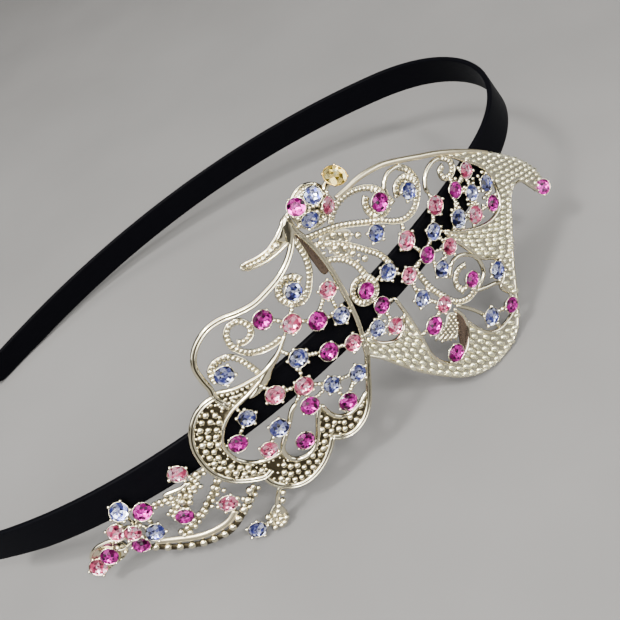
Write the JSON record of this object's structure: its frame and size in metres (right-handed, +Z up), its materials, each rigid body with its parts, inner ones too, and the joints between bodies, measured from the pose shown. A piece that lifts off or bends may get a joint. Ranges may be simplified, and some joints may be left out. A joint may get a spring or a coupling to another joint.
{
  "type": "butterfly headband",
  "caption": "Slim satin-covered arched headband with a pierced metal butterfly and trailing flower spray, set with small faceted stones, lying on its side.",
  "frame": {"origin": "centre of the headband's box on the surface it lies on", "axes": "+X towards the crown of the arch, -Y towards the side that carries the butterfly, +Z up from the surface, lying on its side"},
  "size_m": [0.1712, 0.1308, 0.0655],
  "materials": {
    "black_satin": "satin cloth over a steel strip",
    "plated_metal": "bright champagne plating on a casting",
    "fuchsia_stone": "cut and foiled stone",
    "rose_stone": "cut and foiled stone",
    "blue_stone": "cut and foiled stone",
    "topaz_stone": "cut and foiled stone"
  },
  "bodies": {
    "root": {"band": "black_satin", "butterfly": "plated_metal", "flower_spray": "plated_metal", "head_stone": "topaz_stone", "hind_stone_01": "fuchsia_stone", "hind_stone_02": "blue_stone", "hind_stone_03": "blue_stone", "hind_stone_04": "rose_stone", "hind_stone_05": "rose_stone", "hind_stone_06": "fuchsia_stone", "hind_stone_07": "blue_stone", "hind_stone_08": "blue_stone", "hind_stone_09": "rose_stone", "hind_stone_10": "blue_stone", "hind_stone_11": "fuchsia_stone", "hind_stone_12": "fuchsia_stone", "hind_stone_13": "rose_stone", "hind_stone_14": "rose_stone", "hind_stone_15": "blue_stone", "hind_stone_16": "fuchsia_stone", "hind_stone_17": "blue_stone", "hind_stone_18": "rose_stone", "hind_stone_19": "blue_stone", "hind_stone_20": "fuchsia_stone", "hind_stone_21": "fuchsia_stone", "fore_stone_01": "fuchsia_stone", "fore_stone_02": "blue_stone", "fore_stone_03": "blue_stone", "fore_stone_04": "fuchsia_stone", "fore_stone_05": "blue_stone", "fore_stone_06": "rose_stone", "fore_stone_07": "rose_stone", "fore_stone_08": "rose_stone", "fore_stone_09": "fuchsia_stone", "fore_stone_10": "blue_stone", "fore_stone_11": "blue_stone", "fore_stone_12": "rose_stone", "fore_stone_13": "fuchsia_stone", "fore_stone_14": "fuchsia_stone", "fore_stone_15": "blue_stone", "fore_stone_16": "fuchsia_stone", "fore_stone_17": "blue_stone", "fore_stone_18": "fuchsia_stone"}
  },
  "joints": []
}
